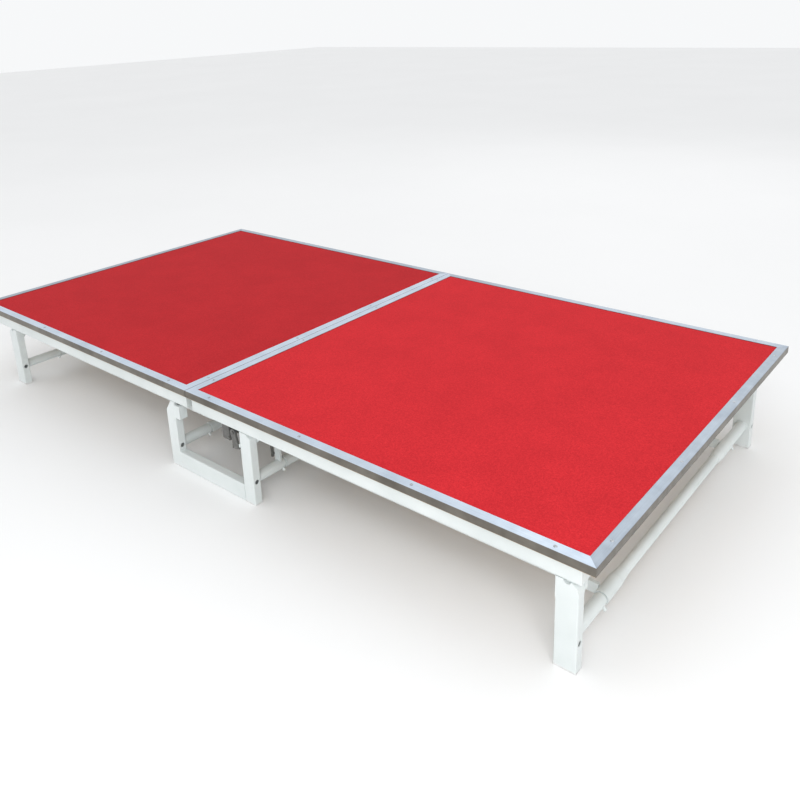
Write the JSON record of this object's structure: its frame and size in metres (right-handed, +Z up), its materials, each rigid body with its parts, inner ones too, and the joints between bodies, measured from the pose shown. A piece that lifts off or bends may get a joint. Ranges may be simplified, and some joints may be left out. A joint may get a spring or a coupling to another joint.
{
  "type": "folding stage riser platform",
  "caption": "Low folding stage riser: square carpeted decks with edge angles on box-tube end legs and a centre stand that lifts to fold.",
  "frame": {"origin": "on the floor under the middle of the flat, unfolded stage", "axes": "+X along the two decks towards the right end legs, +Y towards the back edge, +Z up"},
  "size_m": [2.44, 1.22, 0.273],
  "materials": {
    "red_carpet": "needle-felt carpet, matt",
    "edge_aluminium": "satin anodised angle",
    "white_steel": "white powder coat, slightly glossy",
    "dark_steel": "dark oiled steel",
    "zinc_steel": "bright zinc plated",
    "plywood": "birch plywood, raw edge",
    "pale_plastic": "moulded, pale grey"
  },
  "bodies": {
    "right_legs": {"right_back_leg": "white_steel", "right_foot_caps": "pale_plastic", "right_front_leg": "white_steel", "right_leg_collars": "white_steel", "right_leg_tube": "white_steel"},
    "right_deck": {"right_back_rail": "white_steel", "right_back_trim": "edge_aluminium", "right_board": "plywood", "right_carpet": "red_carpet", "right_catch_brackets": "dark_steel", "right_end_rail": "white_steel", "right_end_trim": "edge_aluminium", "right_front_rail": "white_steel", "right_front_trim": "edge_aluminium", "right_joists": "white_steel", "right_pivot_lugs": "white_steel", "right_pivot_pins": "zinc_steel", "right_seam_rail": "white_steel", "right_seam_trim": "edge_aluminium", "right_trim_screws": "zinc_steel"},
    "stand": {"stand_back_bar": "white_steel", "stand_bar_hooks": "dark_steel", "stand_collars": "white_steel", "stand_foot_caps": "pale_plastic", "stand_front_bar": "white_steel", "stand_keepers": "white_steel", "stand_left_back_upright": "white_steel", "stand_left_front_upright": "white_steel", "stand_left_tube": "white_steel", "stand_post_bars": "white_steel", "stand_rest_blocks": "white_steel", "stand_rest_bolts": "dark_steel", "stand_right_back_upright": "white_steel", "stand_right_front_upright": "white_steel", "stand_right_tube": "white_steel"},
    "right_links": {"right_back_link": "white_steel", "right_front_link": "white_steel"},
    "left_deck": {"left_back_rail": "white_steel", "left_back_trim": "edge_aluminium", "left_board": "plywood", "left_carpet": "red_carpet", "left_end_rail": "white_steel", "left_end_trim": "edge_aluminium", "left_front_rail": "white_steel", "left_front_trim": "edge_aluminium", "left_joists": "white_steel", "left_pivot_lugs": "white_steel", "left_pivot_pins": "zinc_steel", "left_seam_rail": "white_steel", "left_seam_trim": "edge_aluminium", "left_trim_screws": "zinc_steel"},
    "left_links": {"left_back_link": "white_steel", "left_front_link": "white_steel"},
    "left_legs": {"left_back_leg": "white_steel", "left_foot_caps": "pale_plastic", "left_front_leg": "white_steel", "left_leg_collars": "white_steel", "left_leg_tube": "white_steel"},
    "front_catch": {"front_catch_lever": "dark_steel"},
    "back_catch": {"back_catch_lever": "dark_steel"}
  },
  "joints": [
    {"name": "right_fold", "type": "hinge", "parent": "right_legs", "child": "right_deck", "pos_m": [1.158, -0.065, 0.184], "axis": [0, 1, 0], "range_deg": [0, 90]},
    {"name": "stand_fold", "type": "hinge", "parent": "right_deck", "child": "stand", "pos_m": [0.226, -0.065, 0.184], "axis": [0, 1, 0], "range_deg": [-90, 0]},
    {"name": "right_link_fold", "type": "hinge", "parent": "right_legs", "child": "right_links", "pos_m": [1.158, -0.065, 0.067], "axis": [0, 1, 0], "range_deg": [0, 90]},
    {"name": "left_fold", "type": "hinge", "parent": "stand", "child": "left_deck", "pos_m": [-0.098, -0.065, 0.184], "axis": [0, -1, 0], "range_deg": [0, 90]},
    {"name": "left_link_fold", "type": "hinge", "parent": "stand", "child": "left_links", "pos_m": [-0.098, -0.065, 0.067], "axis": [0, -1, 0], "range_deg": [0, 90]},
    {"name": "left_leg_fold", "type": "hinge", "parent": "left_deck", "child": "left_legs", "pos_m": [-1.03, -0.065, 0.184], "axis": [0, -1, 0], "range_deg": [-90, 0]},
    {"name": "front_catch_swing", "type": "hinge", "parent": "right_deck", "child": "front_catch", "pos_m": [0.178, -0.596, 0.196], "axis": [0, -1, 0], "range_deg": [-16, 6]},
    {"name": "back_catch_swing", "type": "hinge", "parent": "right_deck", "child": "back_catch", "pos_m": [0.178, 0.466, 0.196], "axis": [0, -1, 0], "range_deg": [-16, 6]}
  ],
  "couplings": [
    {"joint": "stand_fold", "follows": "right_fold", "ratio": -1},
    {"joint": "right_link_fold", "follows": "right_fold", "ratio": 1},
    {"joint": "left_fold", "follows": "right_fold", "ratio": 1},
    {"joint": "left_link_fold", "follows": "right_fold", "ratio": 1},
    {"joint": "left_leg_fold", "follows": "right_fold", "ratio": -1}
  ]
}
